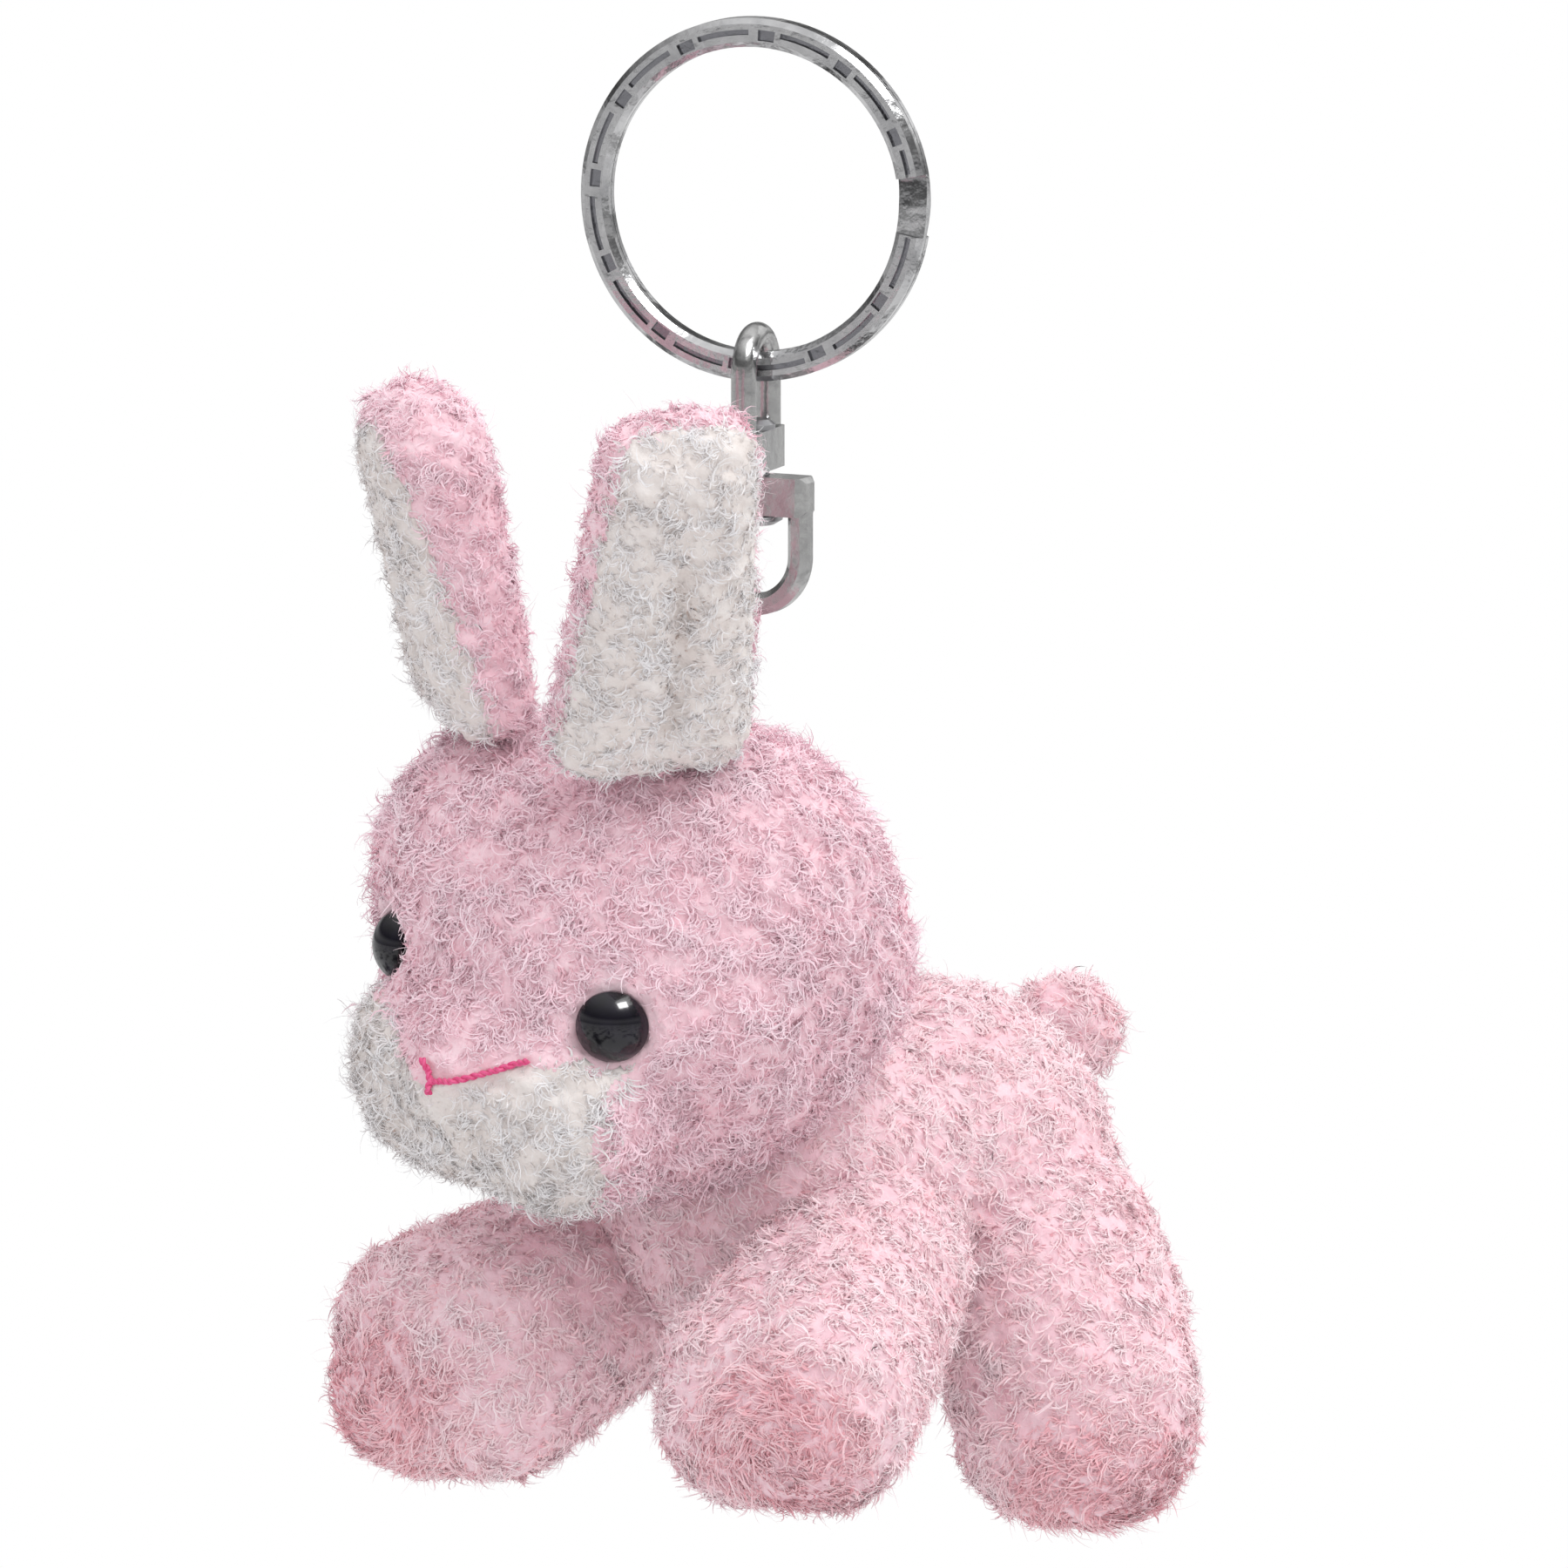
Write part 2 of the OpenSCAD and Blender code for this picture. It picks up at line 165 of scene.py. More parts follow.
def arrays(o):
    """Vertices, triangles and vertex normals of an object's mesh."""
    me = o.data
    me.calc_loop_triangles()
    v = np.zeros(len(me.vertices) * 3, np.float32)
    n = np.zeros(len(me.vertices) * 3, np.float32)
    t = np.zeros(len(me.loop_triangles) * 3, np.int32)
    me.vertices.foreach_get("co", v)
    me.vertices.foreach_get("normal", n)
    me.loop_triangles.foreach_get("vertices", t)
    return v.reshape(-1, 3).astype(float), t.reshape(-1, 3), n.reshape(-1, 3).astype(float)


def set_points(o, v):
    o.data.vertices.foreach_set("co", v.astype(np.float32).ravel())
    o.data.update()


def smoothed(o, times):
    s = o.modifiers.new("ease", "SMOOTH")
    s.factor, s.iterations = 0.5, times
    return applied(o)


def swollen(o, held):
    """Blows a skin up as cloth round its stuffing; its held points, along the seams, stay."""
    before, _, n = arrays(o)
    o.data.transform(Matrix.Scale(CLOTH_SCALE, 4))
    group = o.vertex_groups.new(name="seams")
    for i in np.nonzero(held > 0.5)[0]:
        group.add([int(i)], 1.0, "REPLACE")
    cloth = o.modifiers.new("cloth", "CLOTH")
    s = cloth.settings
    s.quality, s.mass = 5, 0.3
    s.tension_stiffness = s.compression_stiffness = 12
    s.shear_stiffness, s.bending_stiffness = 6, 0.5
    s.use_pressure, s.uniform_pressure_force = True, PRESSURE
    s.vertex_group_mass = "seams"
    s.effector_weights.gravity = 0
    cloth.collision_settings.use_collision = False
    for f in range(1, CLOTH_FRAMES + 1):
        bpy.context.scene.frame_set(f)
    applied(o)
    bpy.context.scene.frame_set(1)
    grown = arrays(o)[0] / CLOTH_SCALE - before
    length = np.linalg.norm(grown, axis=1, keepdims=True)
    set_points(o, before + grown * SWELL / (SWELL + length))
    o.vertex_groups.clear()
    return smoothed(o, 2)


def skin(name, hulls, matrix, seam=None, dent=None):
    """One closed stuffed skin round several hulls. The seam says how near each point, in the
    matrix's own frame, is to a seam, from 0 to 1; the dent moves points once it is swollen."""
    bm = bmesh.new()
    for balls in hulls:
        me = hull([(c, r - 0.5 * SWELL - PILE_ROOM) for c, r in balls])
        bm.from_mesh(me)
        bpy.data.meshes.remove(me)
    me = bpy.data.meshes.new(name)
    bm.to_mesh(me)
    bm.free()
    me.transform(matrix)
    o = object_of(me, name)
    r = o.modifiers.new("voxels", "REMESH")
    r.mode, r.voxel_size, r.use_smooth_shade = "VOXEL", VOXEL, True
    smoothed(o, VALLEYS_EASED)
    q = unplaced(arrays(o)[0], matrix)
    swollen(o, seam(q) if seam else np.zeros(len(q)))
    if dent:
        v, _, n = arrays(o)
        set_points(o, v - n * dent(unplaced(v, matrix))[:, None])
    fine = o.modifiers.new("fine", "SUBSURF")
    fine.levels = fine.render_levels = 1
    applied(o)
    v, _, n = arrays(o)
    for height, wave, seed in LUMPS:
        v = v + n * (height * swirl(v, seed, wave))[:, None]
    set_points(o, v)
    return o


def scattered(o, per_mm2, rng):
    """Random points on a skin with its smooth normals."""
    v, t, n = arrays(o)
    a, b, c = v[t[:, 0]], v[t[:, 1]], v[t[:, 2]]
    area = np.linalg.norm(np.cross(b - a, c - a), axis=1) / 2
    count = int(area.sum() * per_mm2)
    pick = rng.choice(len(t), count, p=area / area.sum())
    u, w = rng.random(count), rng.random(count)
    flip = u + w > 1
    u[flip], w[flip] = 1 - u[flip], 1 - w[flip]
    k = t[pick]
    p = v[k[:, 0]] + u[:, None] * (v[k[:, 1]] - v[k[:, 0]]) + w[:, None] * (v[k[:, 2]] - v[k[:, 0]])
    m = n[k[:, 0]] + u[:, None] * (n[k[:, 1]] - n[k[:, 0]]) + w[:, None] * (n[k[:, 2]] - n[k[:, 0]])
    return p, unit(m)


def swirl(p, seed, wave):
    """A smooth random number, about -1 to 1, at each point."""
    r = np.random.default_rng(seed)
    k = r.normal(size=(10, 3))
    k *= (2 * math.pi / wave) / np.linalg.norm(k, axis=1, keepdims=True) * r.uniform(0.6, 1.5, (10, 1))
    return np.sin(p @ k.T + r.uniform(0, 6.3, 10)).sum(1) / math.sqrt(10) * 0.8


def near(values, at, width):
    """1 where values are at a seam, falling to 0 a width away."""
    return np.clip(1.5 - np.abs(values - at) / width, 0, 1)


# ---------------------------------------------------------------- distances, to keep fur out of neighbours
def to_rod(p, a, b, r):
    a, b = np.array(a, float), np.array(b, float)
    h = np.clip((p - a) @ (b - a) / max((b - a) @ (b - a), 1e-9), 0, 1)
    return np.linalg.norm(p - a - h[:, None] * (b - a), axis=1) - r


def head_distance(p):
    q = unplaced(p, IN_HEAD)
    pads = [tuple(np.array(PADS) + (s * PAD_X, 0, 0)) for s in (-1, 1)]
    return np.minimum.reduce([to_rod(q, (0, 0, 0), (0, 0, 0), HEAD_R),
                              to_rod(q, pads[0], pads[1], PAD_R),
                              to_rod(q, SNOUT, SNOUT, SNOUT_R)])


def body_distance(p):
    q = unplaced(p, IN_BODY)
    return np.minimum(to_rod(q, CHEST, RUMP, CHEST_R), to_rod(q, RUMP, RUMP, RUMP_R))


def leg_distance(p, side, top, paw, r, broad):
    """How far points are off a leg of the CAD: a rod, and a thinner one across its paw."""
    q = unplaced(p, IN_BODY @ sided(side))
    ends = [tuple(np.array(paw) + (s * broad, 0, 0)) for s in (-1, 1)]
    return np.minimum(to_rod(q, top, paw, r), to_rod(q, *ends, r - 0.3))


def ear_distance(p, side):
    q = unplaced(p, in_ear(side))
    length = EAR_LEN[0 if side > 0 else 1]
    q[:, 0] = np.maximum(np.abs(q[:, 0]) - np.interp(q[:, 2], (0, length), EAR_HALF), 0)
    return to_rod(q, (0, 0, 0), (0, 0, length), EAR_R)


SOLE_DROP, RISE, RISES = -1.8, 0.8, {"front_leg_right": 3.2}     # mm that a paw is taller, down and up
CALF_MORE = 1.2           # mm that a leg is fuller between its ends
SOLE_LONGER, SOLE_SHADE = 0.25, 2.2     # how much longer the end of a paw is, and how many shades darker: painted shade where the paw's end faces down
LEGS = {
    "front_leg_left": (1, SHOULDER, FRONT_PAW[0], FRONT_R, FRONT_BROAD),
    "front_leg_right": (-1, SHOULDER, FRONT_PAW[1], FRONT_R, FRONT_BROAD),
    "hind_leg_left": (1, HIP, HIND_PAW[0], HIND_R, HIND_BROAD),
    "hind_leg_right": (-1, HIP, HIND_PAW[1], HIND_R, HIND_BROAD),
}


# ---------------------------------------------------------------- materials
def srgb(r, g, b):
    return tuple((c / 255 / 12.92 if c <= 10.31 else ((c / 255 + 0.055) / 1.055) ** 2.4)
                 for c in (r, g, b)) + (1.0,)


class Nodes:
    """A material's nodes, made in a few words."""

    def __init__(self, name):
        self.mat = bpy.data.materials.new(name)
        self.mat.use_nodes = True
        self.tree = self.mat.node_tree
        self.shader = self.tree.nodes["Principled BSDF"]

    def set(self, **values):
        for key, value in values.items():
            self.shader.inputs[key.replace("_", " ")].default_value = value
        return self

    def add(self, kind, inputs=(), **settings):
        n = self.tree.nodes.new("ShaderNode" + kind)
        for k, v in settings.items():
            setattr(n, k, v)
        for k, v in dict(inputs).items():
            if isinstance(v, bpy.types.NodeSocket):
                self.tree.links.new(v, n.inputs[k])
            else:
                n.inputs[k].default_value = v
        return n

    def math(self, operation, *values):
        n = self.add("Math", dict(enumerate(values)), operation=operation)
        return n.outputs[0]

    def link(self, out, socket):
        self.tree.links.new(out, self.shader.inputs[socket])

    def ramp(self, value, stops):
        n = self.add("ValToRGB", {"Fac": value})
        e = n.color_ramp.elements
        while len(e) < len(stops):
            e.new(0.5)
        for x, (at, colour) in zip(e, stops):
            x.position, x.color = at, colour
        return n.outputs["Color"]


# the pile's own pinks, deep to pale, picked by random tone and by painted shade; the head's and ears' are
# cooler, mauve, which paints the shade on the head
PINKS = [srgb(243, 200, 210), srgb(247, 211, 220), srgb(249, 219, 228), srgb(251, 226, 234),
         srgb(252, 232, 239), srgb(253, 238, 243)]
WARM_PINKS = [srgb(246, 198, 205), srgb(249, 211, 217), srgb(250, 221, 226), srgb(251, 229, 233),
              srgb(252, 235, 239), srgb(253, 240, 243)]      # from the neck down: warmer than the head's, whose cooler tint is painted shade
# the deepest white is warm beige; it shows where painted shade is deepest, as in the ears' folds
WHITES = [srgb(214, 196, 187), srgb(227, 221, 218), srgb(235, 231, 230), srgb(241, 239, 239),
          srgb(246, 245, 246), srgb(250, 250, 251)]


def fibre_materials(name, shades):
    made = []
    for i, c in enumerate(shades):
        m = Nodes(f"{name}_{i}")
        m.set(Base_Color=c, Roughness=0.8, Sheen_Weight=0.15, Sheen_Roughness=0.5)
        m.shader.inputs["Specular IOR Level"].default_value = 0.15
        where = m.add("TexCoord").outputs["Object"]
        grain = m.add("TexNoise", {"Vector": where, "Scale": 900.0, "Detail": 2.0})
        m.link(grain.outputs["Fac"], "Diffuse Roughness")
        made.append(m.mat)
    return made


def cloth_material(name, low, high):
    """The knitted backing that shows between the fibres."""
    m = Nodes(name)
    where = m.add("TexCoord").outputs["Object"]
    fluff = m.add("TexNoise", {"Vector": where, "Scale": 420.0, "Detail": 5.0, "Roughness": 0.7})
    m.link(m.ramp(fluff.outputs["Fac"], [(0.35, low), (0.7, high)]), "Base Color")
    fine = m.add("TexNoise", {"Vector": where, "Scale": 1500.0, "Detail": 4.0})
    bump = m.add("Bump", {"Height": fine.outputs["Fac"], "Strength": 0.6, "Distance": 0.0003})
    m.link(bump.outputs["Normal"], "Normal")
    m.set(Roughness=0.9, Sheen_Weight=0.2)
    return m.mat


# the pile of the head and ears, whose cooler tint is painted shade
shade_cooled_fibres = fibre_materials("pink_pile", PINKS)
warm_fibres = fibre_materials("warm_pink_pile", WARM_PINKS)
white_fibres = fibre_materials("white_pile", WHITES)
pink_cloth = cloth_material("pink_backing", srgb(243, 202, 212), srgb(248, 222, 229))
white_cloth = cloth_material("white_backing", srgb(228, 219, 214), srgb(240, 235, 232))


# ---------------------------------------------------------------- fur
MAX_TRIANGLES = 190000    # in one piece of pile
TUFTS = 0.32              # in a square mm
TO_TUFT = 0.9             # how strongly locks lean to the middle of their tuft
MIDDLE_LONGER, EDGE_SHORTER = 1.12, 0.3      # length of the locks across a tuft
TUFT_EDGE_SHADE = 1.3         # painted shade: how many shades darker locks are at a tuft's edge, in the valleys between tufts
ROOT_SHADE, PILE_DEPTH_SHADE = 0.9, 2.4      # a fibre's colour step at its root, and how many steps paler its tip is: painted shade, darker deep in the pile
SHADE_DRIFT, SHADE_CHANCE, TUFT_MIDDLE_LIGHT = 0.6, 0.3, 0.6     # shades: random tone over an area and by lock, and painted light in the middle of a tuft
ROOT_DEPTH = 0.25         # mm that a fibre starts below the skin
RISE_SPREAD, FALL_SPREAD = (9, 6), (12, 8)     # degrees, from lock to lock and from fibre to fibre
CURL_SPREAD, HEADING_SPREAD = 14, 10           # degrees
ROLL_SPREAD = 0.35        # how much a strip's flat side leans at random
ROUND = 0.3               # how far a strip's soft normals lean to its sides
BODY_PILE, EAR_PILE = 0.88, 0.8         # length of the pile, where the head's is 1
CLEAR = 0.6               # mm that a skin may be inside a neighbour and still grow pile
rng = np.random.default_rng(11)


def fibres(p, n, comb, rng, size, length, lie, curl, width, each, steps=5, spread=0.3, tight=0.8):
    """Curled strips that stand on points p: one lock of some strips at each point. Returns their
    points (strip, step, 2 edges, 3), their soft normals, and each strip's lock."""
    count = len(p)
    lock = np.repeat(np.arange(count), each)
    total = len(lock)
    t = unit(comb - (comb * n).sum(1, keepdims=True) * n)
    b = np.cross(n, t)
    reach = (length * size * rng.uniform(0.6, 1.25, count))[lock] * rng.uniform(0.75, 1.15, total)
    s = np.linspace(0, 1, steps + 1)
    rise, fall = (np.radians(at + rng.normal(0, locks, count)[lock] + rng.normal(0, each_one, total))
                  for at, (locks, each_one) in zip(lie, (RISE_SPREAD, FALL_SPREAD)))
    side = rng.choice([-1, 1], count) * rng.uniform(curl[0], curl[1], count)
    side = np.radians(side[lock] + rng.normal(0, CURL_SPREAD, total))
    first = np.radians(rng.normal(0, HEADING_SPREAD, total))
    mid = (s[1:] + s[:-1]) / 2
    phi = rise[:, None] + (fall - rise)[:, None] * mid ** 0.8
    psi = first[:, None] + side[:, None] * (mid - 0.3)
    nn, tt, bb = n[lock][:, None], t[lock][:, None], b[lock][:, None]
    d = (nn * np.cos(phi)[..., None]
         + (tt * np.cos(psi)[..., None] + bb * np.sin(psi)[..., None]) * np.sin(phi)[..., None])
    walk = np.concatenate([np.zeros((total, 1, 3)), np.cumsum(d, 1)], 1) * (reach / steps)[:, None, None]
    angle, far = rng.uniform(0, 2 * math.pi, total), spread * np.sqrt(rng.random(total))
    offset = (t[lock] * (np.cos(angle) * far)[:, None] + b[lock] * (np.sin(angle) * far)[:, None])
    line = (p[lock] - ROOT_DEPTH * n[lock])[:, None] + walk
    line = line + offset[:, None] * (1 - tight * s)[None, :, None]
    along = np.concatenate([d[:, :1], d], 1)
    roll = rng.normal(0, ROLL_SPREAD, (total, 3))
    across = unit(np.cross(along, n[lock][:, None] + roll[:, None]))
    w = width * rng.uniform(0.7, 1.3, total)[:, None] * (1 - 0.8 * s ** 2.2)[None]
    edge = across * (w / 2)[..., None]
    own = np.cross(across, along)
    upright = np.clip(((along * n[lock][:, None]).sum(2, keepdims=True) - 0.25) / 0.35, 0, 1)
    soft = unit((1 - upright) * n[lock][:, None] + (0.3 + upright) * own)
    normals = unit(np.stack([soft - ROUND * across, soft + ROUND * across], 2))
    return np.stack([line - edge, line + edge], 2), normals, lock


def strip_mesh(name, edges, normals, shade, materials):
    """A mesh of strips, with a material for each step of each strip."""
    count, steps = edges.shape[0], edges.shape[1] - 1
    me = bpy.data.meshes.new(name)
    v = edges.reshape(-1, 3)
    base = (np.arange(count) * (steps + 1) * 2)[:, None] + (np.arange(steps) * 2)[None]
    quad = np.stack([base, base + 1, base + 3, base + 2], -1).reshape(-1, 4)
    me.vertices.add(len(v))
    me.vertices.foreach_set("co", (v * MM).astype(np.float32).ravel())
    me.loops.add(quad.size)
    me.loops.foreach_set("vertex_index", quad.astype(np.int32).ravel())
    me.polygons.add(len(quad))
    me.polygons.foreach_set("loop_start", np.arange(0, quad.size, 4, dtype=np.int32))
    me.polygons.foreach_set("material_index", shade.astype(np.int32).ravel())
    me.polygons.foreach_set("use_smooth", np.ones(len(quad), bool))
    me.update(calc_edges=True)
    me.normals_split_custom_set_from_vertices(normals.reshape(-1, 3).astype(np.float32))
    for m in materials:
        me.materials.append(m)
    return object_of(me, name)


UNDER, OVER = dict(each=1, steps=3, spread=0), dict(each=2, spread=0.11, tight=0.9)
FLY = dict(each=1, steps=4, spread=0)
# each layer: its name, locks a square mm, how many shades paler it is (painted shade: the short under
# layer, deep in the pile, is darker), and how its fibres grow (mm, degrees from upright at the root and at
# the tip, degrees of curl)
LAYERS = (
    ("under", 5.0, 0.0, dict(UNDER, length=1.5, width=0.22, lie=(35, 85), curl=(30, 120))),
    ("over", 4.0, 1.0, dict(OVER, length=2.5, width=0.13, lie=(35, 100), curl=(80, 250))),
    ("fly", 0.7, 1.0, dict(FLY, length=2.7, width=0.05, lie=(20, 70), curl=(20, 150))),
)
BRUSHED_LAYERS = (
    ("under", 5.0, 0.2, dict(UNDER, length=1.5, width=0.24, lie=(40, 85), curl=(20, 90))),
    ("over", 4.4, 1.0, dict(OVER, length=2.3, width=0.14, lie=(50, 100), curl=(40, 150))),
    ("fly", 0.5, 1.0, dict(FLY, length=2.5, width=0.05, lie=(20, 70), curl=(20, 150))),
)
THIN = 1.0


def furred(name, o, keep, comb, white=None, size=None, deep=None, layers=LAYERS, pinks=shade_cooled_fibres):
    """Grows a skin's pile in layers, as pieces small enough to export. Keep, white, size and deep say of
    points in world mm which grow, are white, how long they are and how many shades darker painted shade
    makes them."""
    made = []
    for layer, density, lift, how in layers:
        p, n = scattered(o, density * THIN, rng)
        kept = keep(p)
        p, n = p[kept], n[kept]
        is_white = white(p, rng) if white else np.zeros(len(p), bool)
        scale = size(p) if size else np.ones(len(p))
        to_tuft = tufted(o, p, rng)
        edge = np.clip(np.linalg.norm(to_tuft, axis=1), 0, 1.3)
        scale = scale * (MIDDLE_LONGER - EDGE_SHORTER * edge ** 2)
        edges, normals, lock = fibres(p, n, comb(p, n) + TO_TUFT * to_tuft, rng, size=scale, **how)
        steps = edges.shape[1] - 1
        s = (np.arange(steps) + 0.5) / steps
        # painted shade: a fibre is darker at its root, and the under layer darker than the over, for the
        # shade deep in the pile; the drift and the chance are random tone
        level = ROOT_SHADE + lift + SHADE_DRIFT * swirl(p, 5, 6.0)[lock]
        level = level + rng.normal(0, SHADE_CHANCE, len(p))[lock]
        # painted shade at a tuft's edge, in the valleys between tufts, and painted light in its middle
        level -= TUFT_EDGE_SHADE * (edge ** 2)[lock] - TUFT_MIDDLE_LIGHT
        # deep darkens the ends of the paws and the ears' folds: painted shade
        if deep:
            level -= deep(p)[lock]
        shade = np.clip(np.rint(level[:, None] + PILE_DEPTH_SHADE * s[None]), 0, 5)
        for kind, chosen, mats in (("pink", ~is_white[lock], pinks),
                                   ("white", is_white[lock], white_fibres)):
            e, m, sh = edges[chosen], normals[chosen], shade[chosen]
            order = np.argsort(e[:, 0, 0, 2], kind="stable")
            most = MAX_TRIANGLES // (2 * steps)
            for k in range(math.ceil(len(e) / most)):
                part = order[k * most:(k + 1) * most]
                piece = strip_mesh(f"{name}_{kind}_{layer}_pile_{k + 1}", e[part], m[part], sh[part], mats)
                made.append(piece)
    return made


def tufted(o, p, rng):
    """The way from each point to the middle of its tuft, in tuft radii."""
    middles, _ = scattered(o, TUFTS, rng)
    tree = KDTree(len(middles))
    for i, c in enumerate(middles):
        tree.insert(c, i)
    tree.balance()
    nearest = np.array([tree.find(c)[1] for c in p])
    return (middles[nearest] - p) * math.sqrt(math.pi * TUFTS)


def combed(seed, drift=(0, 0, 0)):
    """Directions the locks lie in: a slow swirl, some chance and some drift."""
    def field(p, n):
        r = np.random.default_rng(seed)
        d = np.stack([swirl(p, seed + k, 5.0) for k in range(3)], 1)
        return unit(d * 0.9 + r.normal(0, 0.45, p.shape) + np.array(drift, float) * 0.5)
    return field


# ---------------------------------------------------------------- build the rabbit
MUZZLE_HALF, MUZZLE_LOW, MUZZLE_BACK = 14.2, -14, -8      # mm to each side, down and back
STITCH_LIFT, STITCH_R = 0.5, 0.17       # mm off the skin; the radius of one ply
# across and up the face: the mouth's lines from its middle, which sits a little to the left
MOUTH_LINES = (((1.1, 1.1), (4.7, 1.8), (8.3, 3.1)), ((1.1, 1.1), (0.6, 1.8), (0, 2.7)),
               ((1.1, 1.3), (1.1, 0.7), (1.1, 0.1)))


def muzzle_mask(q, rng=None, ease=0.0):
    """True for points of the head, in its own frame, that are on the white muzzle."""
    chance = rng.normal(0, 0.22, (2, len(q))) if rng else np.zeros((2, len(q)))
    x = np.abs(q[:, 0]) + chance[0] + ease
    z = q[:, 2] + chance[1]
    top = np.interp(x, [0, 8, 12, MUZZLE_HALF], [MOUTH_LOW, 3, 3, 1.5]) - ease
    low = np.interp(x, [0, 9, MUZZLE_HALF], [MUZZLE_LOW, MUZZLE_LOW, MUZZLE_LOW / 2])
    return (q[:, 1] < MUZZLE_BACK) & (x < MUZZLE_HALF) & (z < top) & (z > low)


PATCH_LIFT, PATCH_THICK = 0.12, 0.35     # mm


def patch(name, o, inside):
    """A thin closed panel on a skin, over its faces that are inside."""
    me = o.data.copy()
    piece = object_of(me, name)
    bm = bmesh.new()
    bm.from_mesh(me)
    centres = np.array([f.calc_center_median() for f in bm.faces])
    chosen = inside(centres)
    bmesh.ops.delete(bm, geom=[f for f, c in zip(bm.faces, chosen) if not c], context="FACES")
    bm.to_mesh(me)
    bm.free()
    v, _, n = arrays(piece)
    set_points(piece, v + n * PATCH_LIFT)
    s = piece.modifiers.new("thick", "SOLIDIFY")
    s.thickness, s.offset = PATCH_THICK, -1
    return applied(piece)


def dressed(o, material, body=None, replaced=()):
    """Gives a skin its cloth, its real size and its body, and hides the CAD parts it replaces."""
    o.data.materials.clear()
    o.data.materials.append(material)
    o.data.transform(Matrix.Scale(MM, 4))
    if body:
        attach(o, body)
    if replaced:
        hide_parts(*replaced)


def ride_all(pieces):
    for o in pieces:
        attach(o, "rabbit")


# head
eye_dirs = [unit(np.array([s * EYE_AT[0], EYE_AT[1], EYE_AT[2]], float)) for s in (1, -1)]


def eye_gap(q):
    """How far points in the head's frame are from the rim of the nearest eye."""
    return np.min([np.linalg.norm(q - e * HEAD_R, axis=1) for e in eye_dirs], 0) - EYE_R


def mouth_gap(q):
    return np.min(np.linalg.norm(q[:, None] - mouth[None], axis=2), 1)


def head_seam(q):
    """The seam behind the cheeks, and the eyes' sewn sockets."""
    return np.maximum(near(q[:, 1], FACE_SEAM_Y, 0.8), eye_gap(q) < 0.6)


EYE_BARE, MOUTH_BARE = 0.35, 0.3     # mm round an eye and the mouth without pile


def head_keep(p):
    q = unplaced(p, IN_HEAD)
    ears = np.minimum(ear_distance(p, 1), ear_distance(p, -1))
    return (eye_gap(q) > EYE_BARE) & (mouth_gap(q) > MOUTH_BARE) & (body_distance(p) > -1) & (ears > -CLEAR)


def head_size(p):
    """The head's pile is short beside the eyes and the mouth."""
    q = unplaced(p, IN_HEAD)
    return np.minimum(np.interp(eye_gap(q), (0, 2.5), (0.45, 1)),
                      np.interp(mouth_gap(q), (0, 3.5), (0.4, 1)))


def head_comb(p, n):
    """Locks on the head swirl, but lie away from the eyes and the mouth beside them."""
    q = unplaced(p, IN_HEAD)
    away = np.zeros_like(q)
    for e in eye_dirs:
        d = q - e * HEAD_R
        away += unit(d) * np.clip(1.6 - (np.linalg.norm(d, axis=1) - EYE_R) / 1.5, 0, 2)[:, None]
    over = np.where(q[:, 2] > MOUTH_LOW + np.abs(q[:, 0]) * MOUTH_RISE / MOUTH_HALF, 1, -1)
    away[:, 2] += over * np.clip(2 - mouth_gap(q) / 1.2, 0, 2)
    spin = np.array(IN_HEAD.to_3x3())
    return combed(21, (0.2, 0.1, -0.6))(p, n) + away @ spin.T


PAD_MORE = 1.3                                                 # mm that the cheeks are fuller
SOCKET = 0.9                                                   # mm that an eye's stem pulls the skin in
crown = [((0, 0, 0), HEAD_R)]
crown += [((s * 11.5, -5.5, 2.5), 9.8) for s in (-1, 1)]       # temples
crown += [((-8.6, -3.4, 7.6), 13), ((8.0, 3.4, 7.0), 14),      # under the ears
          ((2, 8, 5.5), 12.6), ((6.2, 6, -0.6), 14.6)]         # and behind them
head = skin("head_skin", [crown, [((s * PAD_X, PADS[1], PADS[2]), PAD_R + PAD_MORE) for s in (-1, 1)],
                          [(SNOUT, SNOUT_R)]], IN_HEAD, seam=head_seam,
            dent=lambda q: SOCKET * near(eye_gap(q), -1.5, 1.6))
head_points, head_triangles, _ = arrays(head)
face_tree = BVHTree.FromPolygons(head_points.tolist(), head_triangles.tolist())
AHEAD = -45            # mm along the head's Y: a place in front of the whole face


def laid_on_face(line, steps, lift=0):
    """Points in world mm along one of the mouth's lines, that far off the skin of the face."""
    back = IN_HEAD.to_3x3() @ Vector((0, 1, 0))
    t = np.linspace(0, 2, steps)
    x, z = (np.interp(t, (0, 1, 2), [c[i] for c in line]) for i in (0, 1))
    ahead = placed(np.stack([x, np.full(steps, AHEAD), z], 1), IN_HEAD)
    return np.array([face_tree.ray_cast(Vector(p), back)[0] - back * lift for p in ahead])


mouth = np.concatenate([unplaced(laid_on_face(line, 12), IN_HEAD) for line in MOUTH_LINES])
ride_all(furred("head", head, head_keep, head_comb,
                white=lambda p, r: muzzle_mask(unplaced(p, IN_HEAD), r), size=head_size))
muzzle = patch("muzzle_skin", head, lambda c: muzzle_mask(unplaced(c, IN_HEAD), ease=0.5))
dressed(muzzle, white_cloth, "rabbit", ["muzzle_panel"])
dressed(head, pink_cloth, "rabbit",
        ["head_front_panel", "head_back_panel", "head_stuffing", "eye_washer_left", "eye_washer_right"])

# body, legs and tail
body = skin("body_skin", [[(CHEST, CHEST_R), (RUMP, CHEST_R)], [(RUMP, RUMP_R)]], IN_BODY,
            seam=lambda q: np.maximum(near(q[:, 2], BELLY_Z, 0.7), near(q[:, 0], 0, 0.6)))


